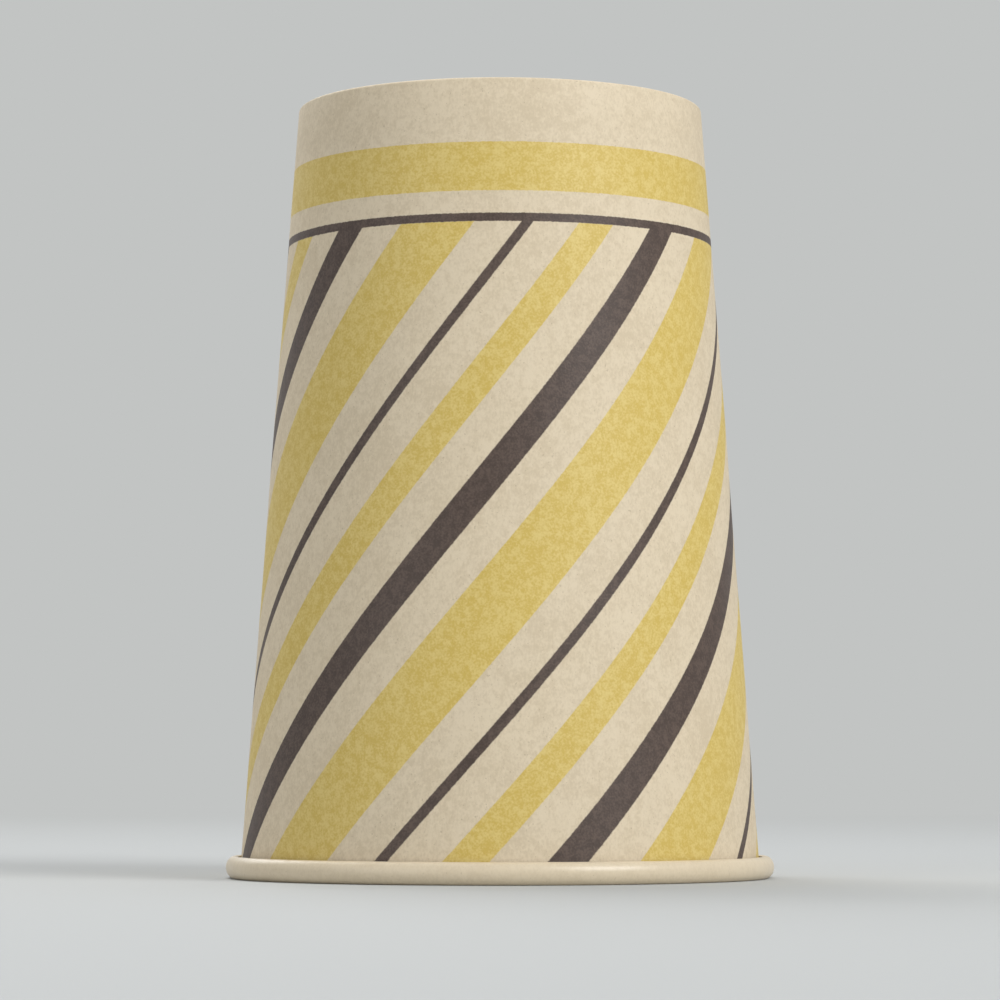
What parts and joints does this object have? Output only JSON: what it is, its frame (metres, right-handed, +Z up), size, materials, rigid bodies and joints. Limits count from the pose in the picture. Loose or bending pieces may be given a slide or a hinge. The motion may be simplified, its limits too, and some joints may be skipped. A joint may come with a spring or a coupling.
{
  "type": "paper coffee cup",
  "caption": "Single-wall paper hot-drink cup standing upside down: lap-seamed tapered wall, rolled rim, recessed base disc in a folded hem.",
  "frame": {"origin": "centre of the mouth, on the plane that the rolled rim stands on", "axes": "+Z up the cup's axis, from the mouth to the base; the side seam is behind, at 112 degrees from +X towards +Y"},
  "size_m": [0.08, 0.08, 0.113],
  "materials": {
    "printed_board": "uncoated off-white paperboard with mustard and brown stripes, satin film inside",
    "white_board": "plain off-white paperboard with a satin film"
  },
  "bodies": {
    "root": {"sidewall": "printed_board", "bottom_disc": "white_board"}
  },
  "joints": []
}
